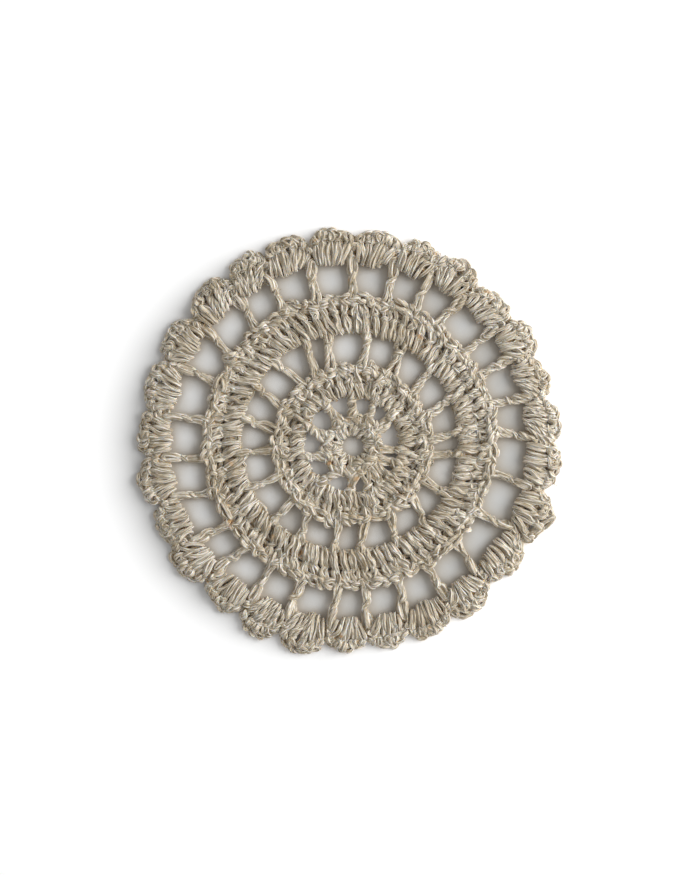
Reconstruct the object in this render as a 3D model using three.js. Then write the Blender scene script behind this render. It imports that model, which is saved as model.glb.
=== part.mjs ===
// Crochet coaster worked in the round from one linen yarn, lying flat, face up.
// Millimetres, +Z up. The origin is on the underside, at the middle of the outline.
import * as THREE from "three";
import { mergeVertices } from "three/addons/utils/BufferGeometryUtils.js";

// Driving sizes
const thickness = 3.0; // of the dense rounds, over the crowns of their stitches
const spokeThickness = 2.1; // of a lone stitch that bridges two rounds
const spokeLift = 0.4; // a bridging stitch hangs this far clear of the table
const stitchRelief = 0.45; // how deep the valley between two stitches is
const outerSpokeWidth = 2.5; // of a bridging stitch under the border

const degrees = Math.PI / 180;
const linen = { color: 0xb3a994, roughness: 0.85, metalness: 0.0 };

// Turns rows of numbers into rows with named columns.
function table(names, rows) {
  return rows.map((row) => Object.fromEntries(names.map((name, i) => [name, row[i]])));
}

// The dense rounds: edges as radii, their shared centre as worked, a little off the middle,
// and the number of stitches in each
const hub = { inner: 2.7, outer: 7.1, x: 0.7, y: -1.2, stitches: 14 };
const innerBand = { inner: 12.9, outer: 21.9, x: 0.5, y: -0.8, stitches: 40 };
const outerBand = { inner: 30.2, outer: 40.7, x: -0.2, y: 0.0, stitches: 80 };
const border = { inner: 50.1, x: -0.5, y: 0.1, postsPerShell: 6 };

// Where a dense round's section turns: the share of the way from its inner edge to its outer
// edge, the share of the thickness, and how much of the stitch relief it shows
const bandSection = table(
  ["across", "height", "relief"],
  [
    [0.08, 0.0, 0.0],
    [0.0, 0.42, 0.4],
    [0.14, 0.8, 0.9],
    [0.68, 0.97, 1.0],
    [0.93, 0.84, 0.5],
    [1.0, 0.4, 0.3],
    [0.95, 0.0, 0.0],
  ],
);
const shellSection = table(
  ["across", "height", "relief"],
  [
    [0.07, 0.0, 0.0],
    [0.0, 0.4, 0.3],
    [0.1, 0.74, 0.8],
    [0.62, 1.0, 1.0],
    [0.9, 0.84, 0.7],
    [1.0, 0.4, 0.3],
    [0.93, 0.0, 0.0],
  ],
);

// Stitches that bridge hub and inner band: where each leaves and lands, and its width
const innerSpokes = table(
  ["baseAt", "topAt", "width"],
  [
    [31, 36, 2.3],
    [55, 65, 2.4],
    [87, 91, 3.4],
    [121, 127, 2.4],
    [163, 158, 2.6],
    [201, 194, 2.4],
    [243, 231, 2.4],
    [275, 265, 2.5],
    [311, 312, 4.6],
    [350, 352, 2.5],
  ],
);

// Stitches that bridge inner band and outer band
const middleSpokes = table(
  ["baseAt", "topAt", "width"],
  [
    [2, 6, 2.3],
    [20, 25, 2.4],
    [39, 43, 2.5],
    [61, 62, 3.4],
    [83, 81, 2.9],
    [106, 102, 3.3],
    [117, 114, 2.4],
    [129, 135, 2.5],
    [152, 149, 2.5],
    [169, 168, 2.8],
    [182, 187, 2.6],
    [202, 204, 2.5],
    [223, 226, 2.4],
    [237, 244, 2.4],
    [259, 262, 2.5],
    [279, 276, 2.5],
    [299, 295, 2.4],
    [318, 313, 2.5],
    [335, 331, 2.6],
    [351, 355, 2.5],
  ],
);

// The border of shells, counted round: the bridging stitch under each valley (where it leaves
// the outer band and where it lands), the valley outside it, and the crown of the next shell
const shells = table(
  ["baseAt", "topAt", "valleyAt", "valleyR", "crownAt", "crownR"],
  [
    [4.3, 1.3, 358.7, 57.2, 5.7, 59.3],
    [14.3, 14.0, 11.8, 56.6, 18.8, 58.8],
    [26.5, 27.0, 24.0, 56.4, 30.7, 59.8],
    [37.5, 38.0, 37.0, 56.9, 43.6, 58.9],
    [52.7, 51.5, 49.8, 56.5, 58.0, 60.2],
    [63.7, 63.8, 63.7, 57.5, 69.3, 59.9],
    [75.0, 76.0, 74.7, 57.8, 81.5, 59.9],
    [88.6, 89.0, 88.3, 57.8, 95.5, 60.7],
    [103.3, 102.3, 101.3, 58.0, 108.5, 60.5],
    [117.3, 116.7, 114.3, 57.9, 120.7, 60.7],
    [129.5, 127.5, 126.8, 57.8, 133.5, 61.1],
    [144.0, 142.3, 142.0, 57.6, 149.0, 60.3],
    [157.3, 156.6, 156.2, 57.6, 164.0, 60.3],
    [172.3, 172.3, 170.9, 57.6, 178.0, 60.1],
    [186.3, 185.3, 184.6, 57.8, 191.0, 60.9],
    [200.7, 197.7, 198.4, 57.8, 205.3, 60.0],
    [214.7, 212.7, 209.6, 58.0, 216.3, 60.9],
    [226.3, 224.3, 223.7, 57.4, 231.0, 60.2],
    [237.7, 238.3, 236.7, 57.6, 243.0, 61.0],
    [251.3, 251.0, 249.2, 57.8, 256.0, 61.4],
    [265.7, 264.3, 262.3, 57.1, 268.2, 59.5],
    [276.0, 276.0, 275.2, 57.0, 281.0, 59.0],
    [289.7, 288.0, 286.2, 57.2, 293.2, 59.9],
    [302.7, 302.0, 299.4, 56.3, 307.6, 59.4],
    [316.3, 314.3, 314.4, 56.0, 321.5, 58.7],
    [331.0, 332.0, 328.9, 57.3, 339.3, 60.6],
    [347.7, 346.0, 345.2, 57.1, 352.8, 59.6],
  ],
);

const scallopFullness = 2.6; // of a shell's outline: 2 is an arc, more is squarer
const valleySink = 2; // between two shells it is this many times as deep as between stitches
const spokeCorner = 0.6; // half width of a bridging stitch's flat top, as a share of its own

// A bridging stitch between its two ends: share of the way along, of its width and thickness
const spokeWaist = table(
  ["along", "width", "height"],
  [
    [0.22, 0.95, 0.9],
    [0.5, 0.8, 0.85],
    [0.75, 1.05, 1.0],
  ],
);

// Rows of a section that make its walls, from the top of the wall down
const innerWall = [2, 1, 0];
const outerWall = [4, 5, 6];

function polar(round, radius, angle, z) {
  const x = round.x + radius * Math.cos(angle * degrees);
  const y = round.y + radius * Math.sin(angle * degrees);
  return new THREE.Vector3(x, y, z);
}

// A radius about a round's own centre that reaches a given radius about the middle.
function radiusFromMiddle(round, radius, angle) {
  const along = round.x * Math.cos(angle * degrees) + round.y * Math.sin(angle * degrees);
  return radius - along;
}

// The angle from one to another, counted round and never past half a turn.
function turn(from, to) {
  return ((((to - from + 180) % 360) + 360) % 360) - 180;
}

// The column of a round that is nearest an angle at one of its walls.
function nearest(columns, angle, wall) {
  const away = columns.map((column) => Math.abs(turn(column[wall], angle)));
  return away.indexOf(Math.min(...away));
}

// Columns of a dense round: a crown and a valley for each stitch.
function bandColumns(round) {
  const count = 2 * round.stitches;
  return Array.from({ length: count }, (_, i) => {
    const at = (360 * i) / count;
    return { innerAt: at, outerAt: at, innerR: round.inner, outerR: round.outer, sunk: i % 2 };
  });
}

// Columns of the border: each shell fans out from between two bridging stitches to its scallop.
function borderColumns() {
  const steps = 2 * border.postsPerShell;
  return shells.flatMap((shell, n) => {
    const next = shells[(n + 1) % shells.length];
    const rootSpan = turn(shell.topAt, next.topAt);
    const before = turn(shell.valleyAt, shell.crownAt);
    const after = turn(shell.crownAt, next.valleyAt);
    return Array.from({ length: steps }, (_, i) => {
      const side = (2 * i) / steps - 1;
      const valleyR = side < 0 ? shell.valleyR : next.valleyR;
      const fall = Math.abs(side) ** scallopFullness;
      const outerAt = shell.crownAt + side * (side < 0 ? before : after);
      const outerR = shell.crownR - (shell.crownR - valleyR) * fall;
      return {
        innerAt: shell.topAt + (rootSpan * i) / steps,
        outerAt,
        innerR: border.inner,
        outerR: radiusFromMiddle(border, outerR, outerAt),
        sunk: i === 0 ? valleySink : (i + 1) % 2,
      };
    });
  });
}

// Sets each bridging stitch against a wall: the two columns nearest its edges move to them.
function seat(round, columns, spokes, at, wall) {
  const radius = wall === "innerAt" ? round.inner : round.outer;
  return spokes.map((spoke) => {
    const half = spoke.width / 2 / radius / degrees;
    const first = nearest(columns, spoke[at] - half, wall);
    const found = nearest(columns, spoke[at] + half, wall);
    const last = found === first ? (first + 1) % columns.length : found;
    columns[first][wall] = spoke[at] - half;
    columns[last][wall] = spoke[at] + half;
    return { first, last };
  });
}

// The points of a round, column by column.
function skinPoints(round, columns, section) {
  return columns.map((column) =>
    section.map(({ across, height, relief }) => {
      const angle = column.innerAt + turn(column.innerAt, column.outerAt) * across;
      const radius = column.innerR + (column.outerR - column.innerR) * across;
      const z = thickness * height - column.sunk * relief * stitchRelief;
      return polar(round, radius, angle, Math.max(z, 0));
    }),
  );
}

// The columns from the first to the last of a seat, counted round.
function spanOf({ first, last }, count) {
  const length = (last - first + count) % count;
  return Array.from({ length: length + 1 }, (_, i) => (first + i) % count);
}

// Faces of a round, left open where a bridging stitch grows out of a wall.
function skinFaces(points, openings) {
  const count = points.length;
  const rows = points[0].length;
  const open = new Set();
  for (const { seats, wall } of openings) {
    for (const place of seats) {
      for (const i of spanOf(place, count).slice(0, -1)) {
        wall.slice(1).forEach((row, k) => open.add(i * rows + Math.min(row, wall[k])));
      }
    }
  }
  const faces = [];
  for (let i = 0; i < count; i++) {
    for (let j = 0; j < rows; j++) {
      if (open.has(i * rows + j)) continue;
      const [a, b] = [points[i][j], points[(i + 1) % count][j]];
      const [c, d] = [points[(i + 1) % count][(j + 1) % rows], points[i][(j + 1) % rows]];
      faces.push([a, c, b], [a, d, c]);
    }
  }
  return faces;
}

// The edge of an opening in a wall, from its top corner on the far side down and back up.
function rimOf(points, place, wall) {
  const span = spanOf(place, points.length);
  const [top, middle, bottom] = wall;
  const far = points[span.at(-1)];
  const near = points[span[0]];
  const between = span.slice(1, -1);
  return {
    down: [far[top], far[middle], far[bottom]],
    under: between.toReversed().map((i) => points[i][bottom]),
    up: [near[bottom], near[middle], near[top]],
    over: between.map((i) => points[i][top]),
  };
}

// Faces between two open runs of points that start and end beside each other.
function zip(a, b) {
  const faces = [];
  for (let i = 0, j = 0; i < a.length - 1 || j < b.length - 1; ) {
    const stepA = (i + 1) / a.length;
    const stepB = (j + 1) / b.length;
    if (j === b.length - 1 || (i < a.length - 1 && stepA <= stepB)) {
      faces.push([a[i], b[j], a[i + 1]]);
      i++;
    } else {
      faces.push([a[i], b[j], b[j + 1]]);
      j++;
    }
  }
  return faces;
}

// One bridging stitch, grown from the rim of one opening to the rim of another.
function spokeFaces(from, to, width) {
  const middleOf = (rim) => {
    const ends = [...rim.down, ...rim.up];
    return ends.reduce((sum, p) => sum.add(p), new THREE.Vector3()).divideScalar(ends.length);
  };
  const start = middleOf(from);
  const end = middleOf(to);
  const run = new THREE.Vector3().subVectors(end, start).setZ(0).normalize();
  const side = new THREE.Vector3(-run.y, run.x, 0);
  const middle = spokeLift + spokeThickness / 2;
  const waists = spokeWaist.map((row) => {
    const centre = start.clone().lerp(end, row.along).setZ(middle);
    const corner = (out, up) =>
      centre
        .clone()
        .addScaledVector(side, (out * width * row.width) / 2)
        .add(new THREE.Vector3(0, 0, (up * spokeThickness * row.height) / 2));
    return {
      down: [corner(spokeCorner, 1), corner(1, 0), corner(spokeCorner, -1)],
      under: [],
      up: [corner(-spokeCorner, -1), corner(-1, 0), corner(-spokeCorner, 1)],
      over: [],
    };
  });
  const rims = [from, ...waists, to];
  return rims.slice(1).flatMap((b, i) => {
    const a = rims[i];
    return [
      ...zip(a.down, b.down),
      ...zip([a.down[2], ...a.under, a.up[0]], [b.down[2], ...b.under, b.up[0]]),
      ...zip(a.up, b.up),
      ...zip([a.up[2], ...a.over, a.down[0]], [b.up[2], ...b.over, b.down[0]]),
    ];
  });
}

function coasterGeometry() {
  const outerSpokes = shells.map((shell) => ({ ...shell, width: outerSpokeWidth }));
  const rounds = [
    { round: hub, columns: bandColumns(hub), section: bandSection },
    { round: innerBand, columns: bandColumns(innerBand), section: bandSection },
    { round: outerBand, columns: bandColumns(outerBand), section: bandSection },
    { round: border, columns: borderColumns(), section: shellSection },
  ];
  const bridges = [innerSpokes, middleSpokes, outerSpokes].map((spokes, n) => {
    const [below, above] = [rounds[n], rounds[n + 1]];
    const seatsBelow = seat(below.round, below.columns, spokes, "baseAt", "outerAt");
    const seatsAbove = seat(above.round, above.columns, spokes, "topAt", "innerAt");
    return { spokes, seatsBelow, seatsAbove };
  });
  const points = rounds.map(({ round, columns, section }) => skinPoints(round, columns, section));
  const faces = points.flatMap((skin, n) =>
    skinFaces(skin, [
      { seats: bridges[n]?.seatsBelow ?? [], wall: outerWall },
      { seats: bridges[n - 1]?.seatsAbove ?? [], wall: innerWall },
    ]),
  );
  bridges.forEach(({ spokes, seatsBelow, seatsAbove }, n) => {
    spokes.forEach(({ width }, k) => {
      const from = rimOf(points[n], seatsBelow[k], outerWall);
      const to = rimOf(points[n + 1], seatsAbove[k], innerWall);
      faces.push(...spokeFaces(from, to, width));
    });
  });
  return mergeVertices(new THREE.BufferGeometry().setFromPoints(faces.flat()));
}

const coaster = new THREE.Mesh(coasterGeometry(), new THREE.MeshStandardMaterial(linen));
coaster.name = "crochet_coaster";
coaster.geometry.computeBoundingBox();
const middle = coaster.geometry.boundingBox.getCenter(new THREE.Vector3());
coaster.geometry.translate(-middle.x, -middle.y, 0);
coaster.geometry.computeVertexNormals();

const group = new THREE.Group();
group.add(coaster);
export default group;
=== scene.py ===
import math
import random

import bmesh
import bpy
import numpy as np
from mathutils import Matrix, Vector
from mathutils.bvhtree import BVHTree


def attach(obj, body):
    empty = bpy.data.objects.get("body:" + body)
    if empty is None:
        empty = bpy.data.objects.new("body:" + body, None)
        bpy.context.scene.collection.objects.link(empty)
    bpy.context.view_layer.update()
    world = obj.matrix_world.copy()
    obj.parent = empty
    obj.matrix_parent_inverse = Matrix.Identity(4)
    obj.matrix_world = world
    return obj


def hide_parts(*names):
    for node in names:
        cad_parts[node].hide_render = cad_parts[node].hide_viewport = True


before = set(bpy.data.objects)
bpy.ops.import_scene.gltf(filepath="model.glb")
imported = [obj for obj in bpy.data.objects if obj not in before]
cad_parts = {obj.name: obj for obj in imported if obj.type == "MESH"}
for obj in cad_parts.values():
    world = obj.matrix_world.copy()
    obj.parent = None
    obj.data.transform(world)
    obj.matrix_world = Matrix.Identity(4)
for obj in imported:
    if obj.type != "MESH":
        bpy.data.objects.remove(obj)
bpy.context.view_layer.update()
mm = 0.001  # the object's sizes below are in millimetres, angles in degrees

# The yarn that everything is worked from, a loosely plied linen
yarn = {
    "radius": 0.6,
    "plies": 4,
    "plyDepth": 0.3,      # how deep the groove between two plies is, as a share of the radius
    "plyPitch": 7.5,      # length of one turn of the twist
    "smoothSteps": 3,     # rings between two points of the path
    "slub": 0.15,         # thick and thin, as a share of the radius, in two waves along the yarn
    "shortWave": 3.1,
    "longWave": 7.7,
    "uneven": 0.06,       # how much its thickness varies from one point to the next
    "clearance": 1.05,    # its middle stays this many radii above the table
}

# Middle of the outline, seen from the common centre of the rounds
outlineCentre = Vector((-0.419, 0.366))


def polar(settings, radius, angle):
    turn = math.radians(angle)
    centre = Vector((settings["x"], settings["y"])) - outlineCentre
    return centre + Vector((math.cos(turn), math.sin(turn))) * radius


def turnBetween(start, end):
    return (end - start + 180) % 360 - 180


def roundAngle(start, end, share):
    return start + ((end - start) % 360) * share


# A stitch as the path of its yarn, seen from the right side of the work. Each row is a point:
# across in leg spacings, up as a share of the stitch's height, past in mm beyond that, lift in mm
# above the table, and the yarn's thickness there as a share of its usual one.
doubleCrochet = [
    # along the chain behind, then the wrap that lies across the front
    (-0.9, 0.97, -0.90, 0.95, 1.25),
    (-1.0, 0.78, 0.0, 1.05, 1.3),
    (-1.8, 0.63, 0.0, 1.50, 0.9),
    (-0.5, 0.57, 0.0, 2.30, 1.0),
    (1.1, 0.50, 0.0, 2.10, 0.95),
    (1.8, 0.38, 0.0, 1.20, 0.9),
    # down behind, round the foot, and up the first leg
    (2.0, 0.20, 0.0, 1.00, 1.25),
    (1.3, 0.02, 0.0, 0.70, 0.9),
    (1.0, 0.00, -0.75, 1.15, 0.75),
    (1.0, 0.00, -0.35, 2.00, 0.8),
    (1.2, 0.15, 0.0, 2.40, 1.05),
    (0.8, 0.35, 0.0, 2.40, 1.0),
    (0.1, 0.54, 0.0, 1.80, 0.75),
    # down the second leg and round the foot again
    (-0.7, 0.35, 0.0, 2.20, 1.0),
    (-1.1, 0.15, 0.0, 2.30, 1.05),
    (-1.0, 0.00, -0.35, 2.00, 0.8),
    (-1.0, 0.00, -0.75, 1.15, 0.75),
    (-1.3, 0.02, 0.0, 0.70, 0.9),
    (-2.1, 0.22, 0.0, 1.00, 1.25),
    (-0.9, 0.40, 0.0, 1.10, 1.2),
    # the upper loop
    (-0.5, 0.46, 0.0, 1.60, 0.9),
    (-1.4, 0.58, 0.0, 2.30, 1.0),
    (-1.1, 0.76, 0.0, 2.50, 1.1),
    (0.1, 0.92, -0.20, 1.80, 0.9),
    (1.2, 0.74, 0.0, 2.55, 1.1),
    (0.9, 0.58, 0.0, 2.20, 1.0),
    (0.2, 0.46, 0.0, 1.30, 0.9),
    (0.2, 0.56, 0.0, 1.05, 1.2),
    (0.1, 0.80, 0.0, 1.05, 1.3),
]

# A short stitch: two legs, and the loop over them
singleCrochet = [
    (-1.2, 0.45, 0.0, 0.70, 1.0),
    (0.6, 0.20, 0.0, 0.64, 0.9),
    (1.0, 0.00, -0.10, 0.64, 0.85),
    (1.0, 0.00, -0.85, 1.20, 0.8),
    (1.0, 0.12, 0.0, 2.10, 0.9),
    (0.9, 0.40, 0.0, 2.30, 0.95),
    (0.1, 0.62, 0.0, 1.90, 0.95),
    (-1.1, 0.75, 0.0, 2.50, 1.1),
    (-0.2, 1.00, -0.30, 2.30, 1.1),
    (1.0, 0.80, 0.0, 2.50, 1.1),
    (0.1, 0.60, 0.0, 1.70, 1.0),
    (-0.9, 0.40, 0.0, 2.30, 0.95),
    (-1.0, 0.12, 0.0, 2.10, 0.9),
    (-1.0, 0.00, -0.85, 1.20, 0.8),
    (-1.0, 0.00, -0.10, 0.64, 0.85),
    (-0.5, 0.50, 0.0, 0.66, 1.0),
]

# A post that stands alone between two rounds: splayed at its foot and pinched by its wrap
bridgePost = [
    (-0.5, 1.0, -0.60, 0.75, 1.12),
    (-0.5, 0.86, 0.0, 0.90, 1.06),
    (-1.2, 0.76, 0.0, 1.60, 1.06),
    (0.0, 0.70, 0.0, 2.30, 1.12),
    (1.1, 0.63, 0.0, 1.70, 1.06),
    (0.6, 0.50, 0.0, 1.00, 1.00),
    (1.0, 0.25, 0.0, 1.05, 1.06),
    (1.5, 0.0, 0.10, 0.90, 1.00),
    (1.6, 0.0, -0.80, 1.40, 1.00),
    (1.6, 0.0, -0.20, 2.10, 1.06),
    (1.2, 0.25, 0.0, 2.05, 1.18),
    (0.6, 0.50, 0.0, 1.90, 1.06),
    (0.1, 0.65, 0.0, 1.55, 0.94),
    (-0.6, 0.50, 0.0, 1.85, 1.06),
    (-1.2, 0.25, 0.0, 2.00, 1.18),
    (-1.6, 0.0, -0.20, 2.10, 1.06),
    (-1.6, 0.0, -0.80, 1.40, 1.00),
    (-1.5, 0.0, 0.10, 0.90, 1.00),
    (-0.9, 0.28, 0.0, 1.05, 1.06),
    (-0.4, 0.56, 0.0, 1.20, 1.00),
    (-1.1, 0.73, 0.0, 1.80, 1.12),
    (-1.1, 0.86, 0.0, 2.10, 1.30),
    (0.3, 1.0, 0.30, 1.90, 1.18),
    (1.2, 0.88, 0.0, 2.05, 1.30),
    (0.5, 0.75, 0.0, 1.80, 1.18),
    (-0.3, 0.80, 0.0, 1.20, 1.06),
    (0.1, 0.97, 0.0, 0.70, 1.06),
]

# Where a chain stitch between two bridging posts starts
chainStitch = [
    (0.0, 0.0, -0.45, 0.75, 0.9),
]

# The loop that a stitch leaves on top, out to the next stitch and back: along as a share of the
# way to the next top, past in mm beyond it, out in mm outwards, then lift and thickness.
topLoop = [
    (0.00, 0.00, -1.90, 1.60, 0.9),
    (0.35, 0.00, -1.60, 2.50, 1.15),
    (0.75, 0.00, -0.85, 2.40, 1.1),
    (0.95, 0.00, -0.30, 1.80, 0.9),
    (0.70, 0.00, -0.10, 1.50, 0.9),
    (0.45, 0.00, -0.60, 2.20, 1.15),
    (0.15, 0.00, -1.25, 2.30, 1.1),
    (-0.10, 0.00, -1.20, 1.50, 0.95),
    (0.05, 0.00, -0.40, 1.25, 1.0),
    (0.50, 0.00, -0.20, 1.00, 1.1),
    (0.25, 0.00, -0.90, 0.90, 1.1),
]

# One knot of the chain that edges a band
edgeLoop = [
    (0.00, 0.00, 0.00, 1.20, 0.75),
    (0.25, 0.00, 0.60, 2.30, 1.15),
    (0.80, 0.00, 0.75, 2.30, 1.2),
    (1.15, 0.00, 0.15, 1.10, 0.8),
    (0.95, 0.00, -0.60, 2.20, 1.05),
    (0.35, 0.00, -0.75, 2.50, 1.2),
    (0.05, 0.00, -0.10, 1.10, 0.8),
    (0.60, 0.00, 0.10, 0.90, 1.0),
]

# The loop on a shell's post, which rolls over the rim
rimLoop = [
    (0.05, 0.00, -0.80, 1.00, 0.85),
    (0.15, 0.00, -1.15, 1.90, 0.9),
    (0.55, 0.00, -1.15, 2.30, 1.1),
    (0.95, 0.10, -0.50, 1.90, 1.0),
    (1.08, 0.30, -0.10, 1.35, 0.8),
    (0.90, 0.10, 0.30, 1.45, 0.95),
    (0.45, 0.00, 0.45, 1.40, 1.1),
    (0.10, 0.00, 0.00, 1.00, 0.85),
    (0.05, 0.00, -0.60, 0.75, 0.9),
]

# One link of a plain chain
chainLoop = [
    (0.00, 0.00, -0.30, 1.20, 0.9),
    (0.50, 0.00, -0.40, 1.50, 0.9),
    (1.00, 0.30, -0.10, 1.40, 0.9),
    (0.50, 0.00, 0.30, 1.10, 0.9),
    (0.05, 0.00, -0.20, 0.75, 0.9),
]

# How the hand's unevenness shows. A stitch's own "stray" in mm is taken so many times.
hand = {
    "wobble": 0.14,       # the stray of a stitch that doesn't say its own
    "sway": 1.6,          # a whole post leaning aside in its middle
    "raise": 0.8,         # the same upwards, and a single point up or down
    "towardsTop": 0.8,    # how much more a point strays at the top of a post than at its foot
    "loop": 1.4,          # a point of the loop on top
    "twist": 10.0,        # degrees that a post may be turned about itself
    "twistFrom": 0.3,     # share of a post's height where that turn is nought
}
postAxis = 1.5  # a post twists round a line this high above the table


def workStitches(stitches):
    # One yarn through all the stitches; each is a dictionary with kind, foot, top and spread.
    # "slope" is how much higher its foot lies than its top, "bow" how far its middle bends aside.
    points = []
    count = len(stitches)
    for n in range(count):
        stitch = stitches[n]
        following = stitches[(n + 1) % count]
        foot, top = stitch["foot"], stitch["top"]
        height = (top - foot).length
        onward = following["top"] - top
        reach = onward.length
        onward.normalize()
        outward = Vector((onward.y, -onward.x))
        upward = (top - foot).normalized() if height > 0.01 else outward
        side = Vector((-upward.y, upward.x))
        stray = stitch.get("stray", hand["wobble"])
        slope = stitch.get("slope", 0.0)
        rise = stitch.get("rise", 1.0)
        full = stitch.get("full", 1.0)
        sway = random.gauss(0, stray * hand["sway"]) + stitch.get("bow", 0.0)
        raised = random.gauss(0, stray * hand["raise"])
        twist = random.gauss(stitch.get("twist", 0.0), stitch.get("twistStray", hand["twist"]))
        for across, up, past, lift, thickness in stitch["kind"]:
            bow = math.sin(math.pi * up)
            turn = math.radians(twist * (up - hand["twistFrom"]))
            offset, above = across * stitch["spread"], lift - postAxis
            sideways = offset * math.cos(turn) - above * math.sin(turn) + sway * bow
            lifted = postAxis + offset * math.sin(turn) + above * math.cos(turn) + raised * bow
            lifted += slope * (0.5 - up)
            place = foot + side * sideways + upward * (up ** rise * height + past)
            points.append((place, lifted, thickness * full, stray * (1 + hand["towardsTop"] * up)))
        slant = random.gauss(0, stray)
        raised = random.gauss(0, stray) - slope * 0.5
        for along, past, out, lift, thickness in stitch.get("loop", topLoop):
            aside = out + slant * along * reach
            place = top + onward * (along * reach + past) + outward * aside
            points.append((place, lift + raised, thickness * full, stray * hand["loop"]))
    path = []
    for place, lift, thickness, stray in points:
        thickness *= 1 + random.gauss(0, yarn["uneven"])
        lowest = yarn["radius"] * thickness * yarn["clearance"]
        path.append((
            place.x + random.gauss(0, stray),
            place.y + random.gauss(0, stray),
            max(lift + random.gauss(0, stray * hand["raise"]), lowest),
            thickness,
        ))
    path.append(path[0])
    return path


def meshPiece(name, curve, length):
    # The curve as a mesh that rides on the part, with its UV map in mm along the strand
    holder = bpy.data.objects.new(name, curve)
    bpy.context.scene.collection.objects.link(holder)
    bpy.context.view_layer.update()
    evaluated = holder.evaluated_get(bpy.context.evaluated_depsgraph_get())
    mesh = bpy.data.meshes.new_from_object(evaluated)
    bpy.data.objects.remove(holder)
    mesh.name = name
    mesh.uv_layers[0].name = "strand"
    for corner in mesh.uv_layers[0].data:
        corner.uv.x *= length
    for polygon in mesh.polygons:
        polygon.use_smooth = True
    # what would dip below the table is pressed flat on it
    places = np.empty(len(mesh.vertices) * 3)
    mesh.vertices.foreach_get("co", places)
    places[2::3] = np.maximum(places[2::3], 0)
    mesh.vertices.foreach_set("co", places)
    piece = bpy.data.objects.new(name, mesh)
    bpy.context.scene.collection.objects.link(piece)
    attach(piece, "root")
    print(name, len(mesh.vertices), "points", len(mesh.polygons), "faces")
    return piece


def plyProfile():
    # Cross section of the yarn: a ring with one bulge for each ply
    data = bpy.data.curves.new("plyProfile", "CURVE")
    spline = data.splines.new("POLY")
    count = yarn["plies"] * 2
    spline.points.add(count - 1)
    for j in range(count):
        angle = -2 * math.pi * j / count  # this way round the faces point outwards
        radius = 1 + yarn["plyDepth"] * (0.5 if j % 2 == 0 else -0.5)
        spline.points[j].co = (radius * math.cos(angle), radius * math.sin(angle), 0, 1)
    spline.use_cyclic_u = True
    return bpy.data.objects.new("plyProfile", data)


profile = plyProfile()


def spinYarn(name, path):
    # A tube with the yarn's section along the path. Its UV map is the way along the yarn in mm
    # and the way round it from 0 to 1.
    data = bpy.data.curves.new(name, "CURVE")
    data.dimensions = "3D"
    data.resolution_u = yarn["smoothSteps"]
    data.bevel_mode = "OBJECT"
    data.bevel_object = profile
    data.use_fill_caps = True
    spline = data.splines.new("BEZIER")
    spline.bezier_points.add(len(path) - 1)
    spline.resolution_u = yarn["smoothSteps"]
    length = 0.0
    last = Vector(path[0][:3])
    shift = random.random() * 10  # where in its thick and thin the yarn starts
    for point, (x, y, z, thickness) in zip(spline.bezier_points, path):
        here = Vector((x, y, z))
        length += (here - last).length
        last = here
        point.co = here * mm
        point.handle_left_type = point.handle_right_type = "AUTO"
        point.tilt = length / yarn["plyPitch"] * 2 * math.pi
        wave = math.sin(length / yarn["shortWave"] + shift)
        wave += math.sin(length / yarn["longWave"] + 2 * shift)
        point.radius = yarn["radius"] * mm * thickness * (1 + yarn["slub"] * 0.5 * wave)
    print(name, round(length / 1000, 2), "m of yarn")
    return meshPiece(name, data, length)


# The rounds, each worked about its own centre. "lean" is how far a top is round from its foot,
# "knots" how many stitches the chain on its edge has, "backing" the radii of the yarn behind it.
hub = {
    "foot": 4.1, "top": 7.8, "x": 0.7, "y": -1.2,
    "stitches": 12, "spread": 0.56, "stray": 0.22, "full": 1.18, "knots": 22,
    "unevenFoot": 3, "unevenTop": 4, "unevenHeight": 0.3,
}
innerBand = {
    "foot": 14.3, "top": 21.6, "x": 0.5, "y": -0.8,
    "stitches": 40, "spread": 0.46, "lean": 6.0, "stray": 0.25, "slope": 0.7, "knots": 62,
    "backing": (16.6, 18.3, 20.0, 20.0),
}
outerBand = {
    "foot": 31.3, "top": 40.2, "x": -0.2, "y": 0.0,
    "stitches": 80, "spread": 0.46, "lean": 4.0, "stray": 0.18, "slope": 0.7, "knots": 112,
    "backing": (33.8, 35.7, 37.6, 39.2, 39.2),
}
border = {
    "foot": 51.5, "x": -0.5, "y": 0.1,
    "posts": 5, "spread": 0.5, "stray": 0.18, "slope": 1.0, "rise": 0.54,
    "belly": 1.3,         # how far inwards the feet in the middle of a shell are drawn
    "room": 1.9,          # how far the outermost feet keep from the bridging stitches
    "bow": 0.9,           # how far the outermost posts curve outwards
    "crown": 0.86,        # share of a shell's width that the tops of its posts take
    "arch": 2.0,          # 2 makes its crown round, and more than that flatter
    "unevenFoot": 0.2, "unevenAngle": 0.3, "unevenTop": 0.15, "unevenSpread": 0.1,
    "backing": (53.2, 55.1, 55.1),
}
crest = 1.4  # how far the loop on top of a shell's stitch stands out beyond it
# The short stitch that holds the valley between two shells down
valleyStitch = {
    "inwards": 0.4, "aside": 1.2, "below": 0.6, "reach": 0.8, "spread": 0.42, "full": 0.95,
}
# How unevenly a band's stitches are set, the chain on a band's edge, and the yarn behind a band
bandHand = {"foot": 0.15, "top": 0.25, "angle": 0.4, "spread": 0.12}
edging = {"inwards": 0.4, "uneven": 0.3, "unevenAngle": 0.6, "stray": 0.25}
backing = {"height": 0.72, "thickness": 1.15, "step": 2.4, "uneven": 0.12, "unevenHeight": 0.08}
spokeRoom = 0.4  # the band's stitches keep this far from the top of a bridging stitch

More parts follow.
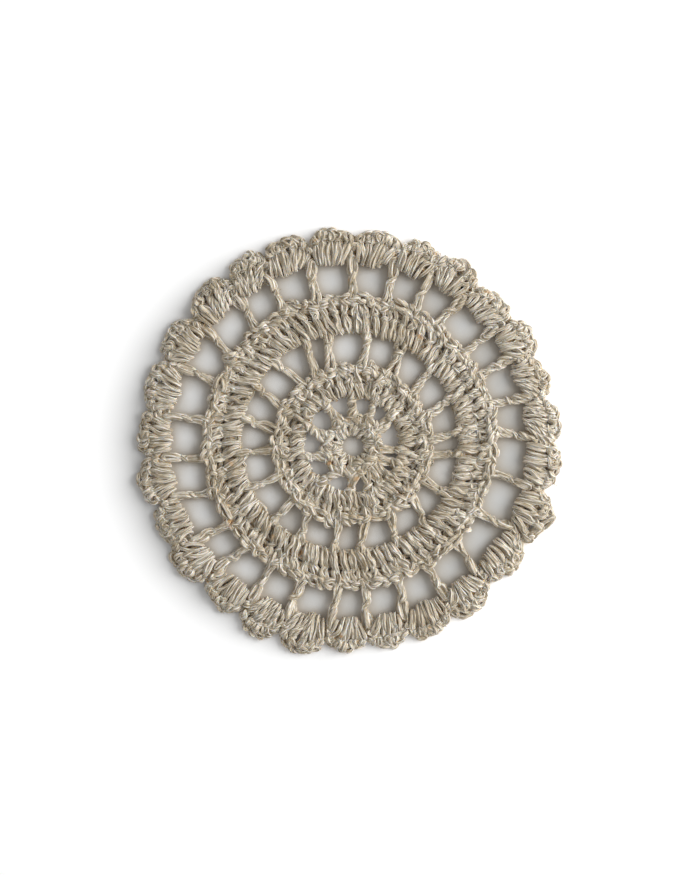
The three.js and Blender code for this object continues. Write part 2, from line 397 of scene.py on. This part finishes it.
# A bridging stitch grips both rounds by so much. Its spread is taken from its foot's width.
bridging = {
    "footGrip": 0.2, "topGrip": 0.3, "stray": 0.16, "twist": 50.0, "twistStray": 40.0,
    "yarnShare": 0.8, "legSpan": 1.7, "unevenSpread": 0.08,
}
# Where each leaves the inner round, where it lands on the outer one, and how wide its foot is
innerSpokes = {
    "chains": 1,
    "full": 1.25,
    "ends": [
        (31, 36, 2.5), (57, 62, 2.4), (87, 91, 2.6), (118, 124, 2.6), (163, 158, 2.6),
        (201, 194, 2.5), (243, 231, 2.5), (275, 265, 2.4), (296, 290, 3.0), (303, 306, 3.0),
        (326, 320, 3.0), (332, 337, 3.0), (352, 354, 2.4),
    ],
}
middleSpokes = {
    "chains": 2,
    "ends": [
        (2, 6, 2.3), (20, 25, 2.4), (39, 43, 2.5), (61, 62, 3.4), (83, 81, 2.9),
        (106, 102, 3.3), (117, 114, 2.4), (129, 135, 2.5), (152, 149, 2.5), (169, 168, 2.8),
        (182, 187, 2.6), (202, 204, 2.5), (223, 226, 2.4), (237, 244, 2.4), (259, 262, 2.5),
        (279, 276, 2.5), (299, 295, 2.4), (318, 313, 2.5), (335, 331, 2.6), (351, 355, 2.5),
    ],
}
outerSpokes = {"chains": 3, "width": 2.8, "rise": 1.7, "full": 1.02}

# The shells, counted round: the bridging stitch under each valley, the valley, the next crown
shellColumns = ("baseAt", "topAt", "valleyAt", "valleyR", "crownAt", "crownR")
shellRows = [
    (4.3, 1.3, 358.7, 57.2, 5.7, 59.3),
    (14.3, 14.0, 11.8, 56.6, 18.8, 58.8),
    (26.5, 27.0, 24.0, 56.4, 30.7, 59.8),
    (37.5, 38.0, 37.0, 56.9, 43.6, 58.9),
    (52.7, 51.5, 49.8, 56.5, 58.0, 60.2),
    (63.7, 63.8, 63.7, 57.5, 69.3, 59.9),
    (75.0, 76.0, 74.7, 57.8, 81.5, 59.9),
    (88.6, 89.0, 88.3, 57.8, 95.5, 60.7),
    (103.3, 102.3, 101.3, 58.0, 108.5, 60.5),
    (117.3, 116.7, 114.3, 57.9, 120.7, 60.7),
    (129.5, 127.5, 126.8, 57.8, 133.5, 61.1),
    (144.0, 142.3, 142.0, 57.6, 149.0, 60.3),
    (157.3, 156.6, 156.2, 57.6, 164.0, 60.3),
    (172.3, 172.3, 170.9, 57.6, 178.0, 60.1),
    (186.3, 185.3, 184.6, 57.8, 191.0, 60.9),
    (200.7, 197.7, 198.4, 57.8, 205.3, 60.0),
    (214.7, 212.7, 209.6, 58.0, 216.3, 60.9),
    (226.3, 224.3, 223.7, 57.4, 231.0, 60.2),
    (237.7, 238.3, 236.7, 57.6, 243.0, 61.0),
    (251.3, 251.0, 249.2, 57.8, 256.0, 61.4),
    (265.7, 264.3, 262.3, 57.1, 268.2, 59.5),
    (276.0, 276.0, 275.2, 57.0, 281.0, 59.0),
    (289.7, 288.0, 286.2, 57.2, 293.2, 59.9),
    (302.7, 302.0, 299.4, 56.3, 307.6, 59.4),
    (316.3, 314.3, 314.4, 56.0, 321.5, 58.7),
    (331.0, 332.0, 328.9, 57.3, 339.3, 60.6),
    (347.7, 346.0, 345.2, 57.1, 352.8, 59.6),
]
shells = [dict(zip(shellColumns, row)) for row in shellRows]
outerSpokes["ends"] = [(shell["baseAt"], shell["topAt"], outerSpokes["width"]) for shell in shells]


def makeRoom(angle, tops, radius):
    # Squeezes an angle out of the places that the bridging stitches' tops take
    margin = math.degrees(spokeRoom / radius)
    for n in range(len(tops)):
        start, end = tops[n], tops[(n + 1) % len(tops)]
        span = (end - start) % 360
        share = ((angle - start) % 360) / span
        if share < 1:
            return start + margin + share * (span - 2 * margin)
    return angle


def jitter(amount):
    return random.gauss(0, amount)


def outlinePoint(radius, angle):
    # A point given from the common centre of the rounds, as the shells are
    turn = math.radians(angle)
    return Vector((math.cos(turn), math.sin(turn))) * radius - outlineCentre


def hubStitches():
    stitches = []
    for n in range(hub["stitches"]):
        angle = 360 * n / hub["stitches"]
        foot = polar(hub, hub["foot"], angle + jitter(hub["unevenFoot"]))
        topR = hub["top"] + jitter(hub["unevenHeight"])
        stitches.append({
            "kind": singleCrochet,
            "foot": foot,
            "top": polar(hub, topR, angle + jitter(hub["unevenTop"])),
            "spread": hub["spread"],
            "stray": hub["stray"],
            "full": hub["full"],
        })
    return stitches


def bandStitches(band, spokes):
    stitches = []
    tops = [end[1] for end in spokes["ends"]]
    for n in range(band["stitches"]):
        angle = 360 * n / band["stitches"]
        footAt = makeRoom(angle, tops, band["foot"])
        footR = band["foot"] + jitter(bandHand["foot"])
        foot = polar(band, footR, footAt + jitter(bandHand["angle"]))
        topR = band["top"] + jitter(bandHand["top"])
        stitches.append({
            "kind": doubleCrochet,
            "foot": foot,
            "top": polar(band, topR, angle + band["lean"] + jitter(bandHand["angle"])),
            "spread": band["spread"] * (1 + jitter(bandHand["spread"])),
            "stray": band["stray"],
            "slope": band["slope"],
        })
    return stitches


def bridgeStitches(inner, outer, spokes):
    # A bridging stitch, then chains as far as the next one
    stitches = []
    ends = spokes["ends"]
    footR, topR = inner["top"] - bridging["footGrip"], outer["foot"] + bridging["topGrip"]
    for n, (leaves, lands, width) in enumerate(ends):
        following = ends[(n + 1) % len(ends)][1]
        spread = (width / 2 - yarn["radius"] * bridging["yarnShare"]) / bridging["legSpan"]
        stitches.append({
            "kind": bridgePost,
            "foot": polar(inner, footR, leaves),
            "top": polar(outer, topR, lands),
            "spread": spread * (1 + jitter(bridging["unevenSpread"])),
            "stray": bridging["stray"],
            "rise": spokes.get("rise", 1.0),
            "full": spokes.get("full", 1.0),
            "twist": bridging["twist"],
            "twistStray": bridging["twistStray"],
            "loop": chainLoop,
        })
        for k in range(spokes["chains"]):
            share = (k + 1) / (spokes["chains"] + 1)
            place = polar(outer, topR, roundAngle(lands, following, share))
            stitches.append({
                "kind": chainStitch,
                "foot": place,
                "top": place,
                "spread": 0.0,
                "loop": chainLoop,
            })
    return stitches


def edgeStitches(band):
    # The chain along a band's outer edge
    stitches = []
    for n in range(band["knots"]):
        angle = 360 * n / band["knots"]
        radius = band["top"] - edging["inwards"] + jitter(edging["uneven"])
        place = polar(band, radius, angle + jitter(edging["unevenAngle"]))
        stitches.append({
            "kind": [],
            "foot": place,
            "top": place,
            "spread": 0.0,
            "stray": edging["stray"],
            "loop": edgeLoop,
        })
    return stitches


def backingPath(band):
    # Yarn that runs round behind the stitches, a turn at each radius
    path = []
    radii = band["backing"]
    turns = len(radii)
    count = round(turns * 2 * math.pi * radii[0] / backing["step"])
    for n in range(count + 1):
        turn = n / count * (turns - 1)
        radius = np.interp(turn, range(turns), radii)
        place = polar(band, radius + jitter(backing["uneven"]), 360 * turn)
        height = backing["height"] + jitter(backing["unevenHeight"])
        path.append((place.x, place.y, height, backing["thickness"]))
    path.append(path[0])
    return path


def shellPosts(shell, following):
    # The posts of one shell, a fan from the space between two bridging stitches
    stitches = []
    count = border["posts"]
    margin = math.degrees(border["room"] / border["foot"])
    before = turnBetween(shell["valleyAt"], shell["crownAt"])
    after = turnBetween(shell["crownAt"], following["valleyAt"])
    span = (following["topAt"] - shell["topAt"]) % 360
    for k in range(count):
        share = (k + 0.5) / count
        side = 2 * share - 1
        footAt = shell["topAt"] + margin + share * (span - 2 * margin)
        footR = border["foot"] - border["belly"] * (1 - side ** 2) + jitter(border["unevenFoot"])
        side *= border["crown"]
        valleyR = shell["valleyR"] if side < 0 else following["valleyR"]
        drop = (shell["crownR"] - valleyR) * abs(side) ** border["arch"]
        topAt = shell["crownAt"] + side * (before if side < 0 else after)
        top = outlinePoint(shell["crownR"] - drop - crest, topAt)
        foot = polar(border, footR, footAt + jitter(border["unevenAngle"]))
        uneven = Vector((jitter(border["unevenTop"]), jitter(border["unevenTop"])))
        stitches.append({
            "kind": doubleCrochet,
            "foot": foot,
            "top": top + uneven,
            "spread": border["spread"] * (1 + jitter(border["unevenSpread"])),
            "stray": border["stray"],
            "slope": border["slope"],
            "rise": border["rise"],
            "bow": border["bow"] * side,
            "loop": rimLoop,
        })
    return stitches


def shellStitches():
    stitches = []
    for n, shell in enumerate(shells):
        following = shells[(n + 1) % len(shells)]
        stitches.extend(shellPosts(shell, following))
        footR = border["foot"] - valleyStitch["inwards"]
        foot = polar(border, footR, following["topAt"] + valleyStitch["aside"])
        valleyR = following["valleyR"] - crest - valleyStitch["below"]
        valley = outlinePoint(valleyR, following["valleyAt"])
        stitches.append({
            "kind": singleCrochet,
            "foot": foot,
            "top": foot.lerp(valley, valleyStitch["reach"]),
            "spread": valleyStitch["spread"],
            "full": valleyStitch["full"],
            "loop": chainLoop,
        })
    return stitches


random.seed(12)
borderPath = workStitches(shellStitches())
third = len(borderPath) // 3
paths = {
    "hub_round": workStitches(hubStitches()),
    "hub_edge": workStitches(edgeStitches(hub)),
    "inner_bridges": workStitches(bridgeStitches(hub, innerBand, innerSpokes)),
    "inner_band": workStitches(bandStitches(innerBand, innerSpokes)),
    "inner_edge": workStitches(edgeStitches(innerBand)),
    "middle_bridges": workStitches(bridgeStitches(innerBand, outerBand, middleSpokes)),
    "outer_band": workStitches(bandStitches(outerBand, middleSpokes)),
    "outer_edge": workStitches(edgeStitches(outerBand)),
    "outer_bridges": workStitches(bridgeStitches(outerBand, border, outerSpokes)),
    "shell_border_a": borderPath[:third + 1],
    "shell_border_b": borderPath[third:2 * third + 1],
    "shell_border_c": borderPath[2 * third:],
    "inner_backing": backingPath(innerBand),
    "outer_backing": backingPath(outerBand),
    "shell_backing": backingPath(border),
}
pieces = {}
for name, path in paths.items():
    pieces[name] = spinYarn(name, path)

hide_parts("crochet_coaster")

shelter = {
    "rays": 5,
    "tilt": 0.8,          # how far the rays spread
    "reach": 2.5,
    "start": 0.04,        # so far off the surface, so that a strand doesn't find itself
    "under": -0.3,        # a surface that faces down more than this is taken as sheltered
}


def markShelter(strands):
    # Stores at each point how much of the light from above the other strands keep from it, for the
    # painted shade between strands in the linen's colour
    corners, faces = [], []
    for piece in strands:
        first = len(corners)
        corners.extend(vertex.co.copy() for vertex in piece.data.vertices)
        faces.extend([first + n for n in polygon.vertices] for polygon in piece.data.polygons)
    tree = BVHTree.FromPolygons(corners, faces)
    tilts = [Vector((0, 0, 0))]
    for turn in range(shelter["rays"] - 1):
        angle = 2 * math.pi * turn / (shelter["rays"] - 1)
        tilts.append(Vector((math.cos(angle), math.sin(angle), 0)) * shelter["tilt"])
    up = Vector((0, 0, 1))
    for piece in strands:
        shares = []
        for vertex in piece.data.vertices:
            if vertex.normal.z < shelter["under"]:
                shares.append(1.0)
                continue
            towards = (vertex.normal + up).normalized()
            start = vertex.co + vertex.normal * shelter["start"] * mm
            hits = 0
            for tilt in tilts:
                found = tree.ray_cast(start, (towards + tilt).normalized(), shelter["reach"] * mm)
                hits += found[0] is not None
            shares.append(hits / shelter["rays"])
        values = piece.data.attributes.new("shelter", "FLOAT", "POINT").data
        values.foreach_set("value", shares)
    print("shelter marked on", len(corners), "points of", len(strands), "strands")


markShelter(list(pieces.values()))

looseFibres = {
    "count": 6500,
    "radius": 0.07,
    "reach": 0.8,                    # how far its end may stand off the yarn
    "longestStep": 8,                # none lies where points of the path are further apart
    "back": (0.2, 0.7),              # how far back and onward it goes, as shares of a step
    "onward": (0.5, 0.9),
    "between": (0.1, 0.3),           # its two middle points, the same way
    "turned": (0.6, 0.4),            # how far they are turned from one side to the next
    "off": (0.95, 1.1, 1.15, 1.2),   # each point from the yarn's middle, in radii of the yarn
    "mapLength": 2.0,                # how long its UV map says it is
}


def fibreSide():
    # A side of the strand for a fibre to leave it at, seldom the underside
    return Vector((random.gauss(0, 1), random.gauss(0, 1), abs(random.gauss(0.8, 0.6)))).normalized()


def looseFibreMesh(name, strands):
    # Short fine fibres that have come away from the yarn, most of them along it
    data = bpy.data.curves.new(name, "CURVE")
    data.dimensions = "3D"
    data.resolution_u = 1
    data.bevel_depth = looseFibres["radius"] * mm
    data.bevel_resolution = 0
    data.use_fill_caps = True
    points = [Vector(point[:3]) for path in strands for point in path]
    toBack, toFront = looseFibres["between"]
    firstTurn, lastTurn = looseFibres["turned"]
    for _ in range(looseFibres["count"]):
        n = random.randrange(1, len(points) - 1)
        before, here, after = points[n - 1], points[n], points[n + 1]
        if (after - before).length > looseFibres["longestStep"]:
            continue
        starts, ends = fibreSide(), fibreSide()
        middle = (starts + ends).normalized()
        sides = [starts, starts.lerp(middle, firstTurn), middle.lerp(ends, lastTurn), ends]
        spots = [
            here.lerp(before, random.uniform(*looseFibres["back"])),
            here.lerp(before, toBack),
            here.lerp(after, toFront),
            here.lerp(after, random.uniform(*looseFibres["onward"])),
        ]
        route = []
        for spot, side, off in zip(spots, sides, looseFibres["off"]):
            route.append(spot + side * yarn["radius"] * off)
        stray = Vector((random.gauss(0, 1), random.gauss(0, 1), random.gauss(0.3, 0.5)))
        route[3] += stray * looseFibres["reach"] * random.random() ** 2
        spline = data.splines.new("BEZIER")
        spline.bezier_points.add(3)
        spline.resolution_u = 1
        for point, place in zip(spline.bezier_points, route):
            place.z = max(place.z, looseFibres["radius"])
            point.co = place * mm
            point.handle_left_type = point.handle_right_type = "AUTO"
    return meshPiece(name, data, looseFibres["mapLength"])


pieces["loose_fibres"] = looseFibreMesh("loose_fibres", paths.values())


def addNode(tree, kind, inputs=None, **settings):
    node = tree.nodes.new(kind)
    for name, value in settings.items():
        setattr(node, name, value)
    for key, value in (inputs or {}).items():
        if isinstance(value, bpy.types.NodeSocket):
            tree.links.new(value, node.inputs[key])
        else:
            node.inputs[key].default_value = value
    return node


def maths(tree, operation, *values):
    return addNode(tree, "ShaderNodeMath", dict(enumerate(values)), operation=operation).outputs[0]


def mapRange(tree, value, span, result=(0.0, 1.0), way="LINEAR"):
    # The value's way through a span, as its way from one result to the other
    inputs = {0: value, 1: span[0], 2: span[1], 3: result[0], 4: result[1]}
    return addNode(tree, "ShaderNodeMapRange", inputs, interpolation_type=way).outputs[0]


def mixColour(tree, share, first, second, blend="MIX"):
    inputs = {0: share, 6: first, 7: second}
    return addNode(tree, "ShaderNodeMix", inputs, data_type="RGBA", blend_type=blend).outputs[2]


def newGroup(name, outputs):
    group = bpy.data.node_groups.new(name, "ShaderNodeTree")
    for output, kind in outputs:
        group.interface.new_socket(output, in_out="OUTPUT", socket_type=kind)
    return group, group.nodes.new("NodeGroupOutput")


# The linen's looks. A span is two values between which something comes in. The fibres' noise runs
# along the strand and round it, and the other two are in metres.
linenLook = {
    "fibreLength": 0.3,              # less than 1 draws the fibres out along the strand
    "fibreNoise": {"Scale": 1.9, "Detail": 3.0, "Roughness": 0.7},
    "darkFibres": (0.5, 0.38),
    "paleFibres": (0.5, 0.62),
    "driftNoise": {"Scale": 110.0, "Detail": 2.0},
    "driftSpan": (0.42, 0.68),
    "speckNoise": {"Scale": 260.0, "Detail": 1.0},
    "speckSpan": (0.73, 0.83),
    # where the painted shade between strands comes in
    "shelterSpan": (0.55, 1.0),
    "fibreHeight": 0.6,              # of the fibres' relief, as a share of the plies'
    "relief": 0.22,
    "reliefStrength": 0.8,
}
linenColours = {
    "shade": (0.27, 0.225, 0.155, 1),
    "middle": (0.53, 0.485, 0.412, 1),
    "bleached": (0.80, 0.78, 0.745, 1),
    # painted shade: a browner colour where other strands shelter a place, for the warm light deep in
    # the work
    "creviceShade": (0.68, 0.49, 0.27, 1),     # between strands
    # painted shade in the grooves between plies
    "groove": (0.82, 0.76, 0.65, 1),      # between plies
    "rust": (0.50, 0.29, 0.12, 1),        # flecks
    "drift": (0.82, 0.785, 0.72, 1),      # lengths of darker yarn
    "plain": (1, 1, 1, 1),
}
linenFinish = {
    "Roughness": 0.65,
    "Specular IOR Level": 0.3,
    "Sheen Weight": 0.15,
    "Sheen Roughness": 0.5,
    "Subsurface Weight": 0.5,
    "Subsurface Radius": (1.0, 0.7, 0.4),
    "Subsurface Scale": 0.4 * mm,
}


def strandGroup():
    # Fibres that follow the twist, and the grooves between the plies
    group, result = newGroup("strandRelief", [
        ("Fibre", "NodeSocketFloat"), ("Ridge", "NodeSocketFloat"),
    ])
    strand = addNode(group, "ShaderNodeUVMap", uv_map="strand")
    parts = addNode(group, "ShaderNodeSeparateXYZ", {0: strand.outputs[0]})
    turn = maths(group, "MULTIPLY", parts.outputs["Y"], 2 * math.pi)
    place = addNode(group, "ShaderNodeCombineXYZ", {
        0: maths(group, "MULTIPLY", parts.outputs["X"], linenLook["fibreLength"]),
        1: maths(group, "COSINE", turn),
        2: maths(group, "SINE", turn),
    })
    fibre = addNode(group, "ShaderNodeTexNoise", {
        "Vector": place.outputs[0], **linenLook["fibreNoise"],
    })
    plies = maths(group, "COSINE", maths(group, "MULTIPLY", turn, float(yarn["plies"])))
    group.links.new(fibre.outputs["Fac"], result.inputs["Fibre"])
    group.links.new(mapRange(group, plies, (-1.0, 1.0)), result.inputs["Ridge"])
    return group


def shadeDriftSpeckGroup():
    # How far other strands shelter a place from the light above, for painted shade between strands,
    # the drift of colour along the yarn, and rare specks
    group, result = newGroup("shelterShadeDriftAndSpecks", [
        ("Shelter", "NodeSocketFloat"), ("Drift", "NodeSocketFloat"), ("Speck", "NodeSocketFloat"),
    ])
    place = addNode(group, "ShaderNodeTexCoord").outputs["Object"]
    sheltered = addNode(group, "ShaderNodeAttribute", attribute_name="shelter")
    drift = addNode(group, "ShaderNodeTexNoise", {"Vector": place, **linenLook["driftNoise"]})
    speck = addNode(group, "ShaderNodeTexNoise", {"Vector": place, **linenLook["speckNoise"]})
    rare = mapRange(group, speck.outputs["Fac"], linenLook["speckSpan"])
    group.links.new(sheltered.outputs["Fac"], result.inputs["Shelter"])
    group.links.new(drift.outputs["Fac"], result.inputs["Drift"])
    group.links.new(rare, result.inputs["Speck"])
    return group


def linenMaterial():
    material = bpy.data.materials.new("linenYarn")
    material.use_nodes = True
    tree = material.node_tree
    shader = tree.nodes["Principled BSDF"]
    relief = addNode(tree, "ShaderNodeGroup", node_tree=strandGroup())
    shadeDriftSpeck = addNode(tree, "ShaderNodeGroup", node_tree=shadeDriftSpeckGroup())
    fibre, ridge = relief.outputs["Fibre"], relief.outputs["Ridge"]
    dark = mapRange(tree, fibre, linenLook["darkFibres"])
    pale = mapRange(tree, fibre, linenLook["paleFibres"])
    sheltered = mapRange(tree, shadeDriftSpeck.outputs["Shelter"], linenLook["shelterSpan"])
    drifting = mapRange(tree, shadeDriftSpeck.outputs["Drift"], linenLook["driftSpan"])
    colour = mixColour(tree, dark, linenColours["middle"], linenColours["shade"])
    colour = mixColour(tree, pale, colour, linenColours["bleached"])
    # painted shade, darker in the grooves between plies
    groove = mixColour(tree, ridge, linenColours["groove"], linenColours["plain"])
    colour = mixColour(tree, 1.0, colour, groove, "MULTIPLY")
    # painted shade: browner where other strands shelter the linen
    colour = mixColour(tree, sheltered, colour, linenColours["creviceShade"])
    drift = mixColour(tree, drifting, linenColours["plain"], linenColours["drift"])
    colour = mixColour(tree, 1.0, colour, drift, "MULTIPLY")
    colour = mixColour(tree, shadeDriftSpeck.outputs["Speck"], colour, linenColours["rust"])
    tree.links.new(colour, shader.inputs["Base Color"])
    bump = addNode(tree, "ShaderNodeBump", {
        "Strength": linenLook["reliefStrength"],
        "Distance": linenLook["relief"] * mm,
        "Height": maths(tree, "MULTIPLY_ADD", fibre, linenLook["fibreHeight"], ridge),
    })
    tree.links.new(bump.outputs[0], shader.inputs["Normal"])
    for socket, value in linenFinish.items():
        shader.inputs[socket].default_value = value
    return material


linen = linenMaterial()
for piece in pieces.values():
    piece.data.materials.clear()
    piece.data.materials.append(linen)
print("linen given to", len(pieces), "pieces")

# The paper is painted greyer under the coaster, lighter to the left, and darker and browner by its
# yarn, as the photograph's gaps show it: painted light and shade, as is the coaster's soft shadow
# round it.
# Spans are distances from the middle.
paper = {
    "halfWidth": 2.0,                        # in metres
    "open": (0.95, 0.95, 0.95, 1),           # round the coaster
    "shadow": (0.57, 0.57, 0.565, 1),
    "shadowMiddle": (-8.9, -1.0, 0.0),
    "shadowSpan": (51.6, 66.1),
    "shadowFade": 2,
    "rim": (53, 57),
    # painted light and shade: lighter at the left edge of the gaps, darker at the right one
    "left": (0.70, 0.705, 0.705, 1),         # in the gaps, from the left edge to the right one
    "right": (0.505, 0.51, 0.505, 1),
    "sideways": (-50, 50),
    # painted light: the paper is paler in the middle gaps
    "inner": (0.80, 0.815, 0.83, 1),         # in the gaps between hub and outer band
    "innerSpan": (32, 40),
    "innerShare": 0.45,
    # painted shade: darker and browner where the yarn is near, by ambient occlusion
    "shadeByYarn": (0.43, 0.395, 0.34, 1),
    "yarnReach": 5,
    "yarnSpan": (0.5, 0.97),
    # the painted shade by the yarn is held back here
    "holeSpan": (3, 7),                      # between hub and inner band no place is quite dark
    "hubSpan": (14, 18),
    "hubShare": 0.6,
    "samples": 6,
    "roughness": 0.9,
}


def inMetres(span):
    return [value * mm for value in span]


def paperMaterial():
    material = bpy.data.materials.new("paleFloor")
    material.use_nodes = True
    tree = material.node_tree
    shader = tree.nodes["Principled BSDF"]
    place = addNode(tree, "ShaderNodeTexCoord").outputs["Object"]
    # the coaster's soft shadow on the paper round it
    offMiddle = addNode(tree, "ShaderNodeVectorMath", {
        0: place, 1: inMetres(paper["shadowMiddle"]),
    }, operation="SUBTRACT")
    fromMiddle = addNode(tree, "ShaderNodeVectorMath", {0: offMiddle.outputs[0]}, operation="LENGTH")
    fading = mapRange(tree, fromMiddle.outputs["Value"], inMetres(paper["shadowSpan"]), (1, 0))
    shaded = maths(tree, "POWER", fading, paper["shadowFade"])
    around = mixColour(tree, shaded, paper["open"], paper["shadow"])
    # the paper seen in the gaps, with painted light and shade: lighter to the left and in the middle
    # gaps, darker and browner near the yarn
    radius = addNode(tree, "ShaderNodeVectorMath", {0: place}, operation="LENGTH").outputs["Value"]
    sides = addNode(tree, "ShaderNodeSeparateXYZ", {0: place})
    sidelong = mapRange(tree, sides.outputs["X"], inMetres(paper["sideways"]))
    paintedGapLight = mixColour(tree, sidelong, paper["left"], paper["right"])
    inner = mapRange(tree, radius, inMetres(paper["innerSpan"]), (paper["innerShare"], 0))
    paintedGapLight = mixColour(tree, inner, paintedGapLight, paper["inner"])
    occluded = addNode(tree, "ShaderNodeAmbientOcclusion", {
        "Distance": paper["yarnReach"] * mm,
    }, samples=paper["samples"])
    openness = mapRange(tree, occluded.outputs["AO"], paper["yarnSpan"], way="SMOOTHSTEP")
    aroundHole = mapRange(tree, radius, inMetres(paper["holeSpan"]))
    withinBand = mapRange(tree, radius, inMetres(paper["hubSpan"]), (paper["hubShare"], 0))
    litShare = maths(tree, "MAXIMUM", openness, maths(tree, "MULTIPLY", aroundHole, withinBand))
    under = mixColour(tree, litShare, paper["shadeByYarn"], paintedGapLight)
    outside = mapRange(tree, radius, inMetres(paper["rim"]))
    tree.links.new(mixColour(tree, outside, under, around), shader.inputs["Base Color"])
    shader.inputs["Roughness"].default_value = paper["roughness"]
    return material


def layPaper():
    mesh = bpy.data.meshes.new("floor")
    square = bmesh.new()
    bmesh.ops.create_grid(square, x_segments=1, y_segments=1, size=paper["halfWidth"])
    square.to_mesh(mesh)
    square.free()
    mesh.materials.append(paperMaterial())
    sheet = bpy.data.objects.new("floor", mesh)
    bpy.context.scene.collection.objects.link(sheet)


studio = {
    "around": 0.61,           # strength of the light from all sides
    "power": 11.5,
    "size": 0.78,             # in metres, as is its distance
    "distance": 0.85,
    "azimuth": 12,
    "elevation": 29,
}


def lightStudio():
    # Even light from all round, and one large soft light from the right
    world = bpy.data.worlds.new("studio")
    world.use_nodes = True
    background = world.node_tree.nodes["Background"]
    background.inputs["Color"].default_value = (1, 1, 1, 1)
    background.inputs["Strength"].default_value = studio["around"]
    bpy.context.scene.world = world
    data = bpy.data.lights.new("keyLight", "AREA")
    data.size = studio["size"]
    data.energy = studio["power"]
    key = bpy.data.objects.new("keyLight", data)
    distance = studio["distance"]
    azimuth, elevation = math.radians(studio["azimuth"]), math.radians(studio["elevation"])
    key.location = (
        distance * math.cos(azimuth) * math.cos(elevation),
        distance * math.sin(azimuth) * math.cos(elevation),
        distance * math.sin(elevation),
    )
    key.rotation_mode = "QUATERNION"
    key.rotation_quaternion = Vector(key.location).to_track_quat("Z", "Y")
    bpy.context.scene.collection.objects.link(key)


# The camera looks straight down, with the coaster a little left of and below its middle
view = {
    "lens": 85,
    "sensor": 36,
    "pixel": 0.28,            # a pixel of the photograph on the table
    "pixelsHigh": 875,
    "right": 1.1,             # in pixels
    "up": 2.9,
}


def setCamera():
    data = bpy.data.cameras.new("camera")
    data.lens = view["lens"]
    camera = bpy.data.objects.new("camera", data)
    pixel = view["pixel"] * mm
    camera.location = (
        view["right"] * pixel,
        view["up"] * pixel,
        view["lens"] * view["pixelsHigh"] * pixel / view["sensor"],
    )
    bpy.context.scene.collection.objects.link(camera)
    bpy.context.scene.camera = camera
    bpy.context.scene.view_settings.view_transform = "Standard"


layPaper()
lightStudio()
setCamera()
print("paper, light and camera set")
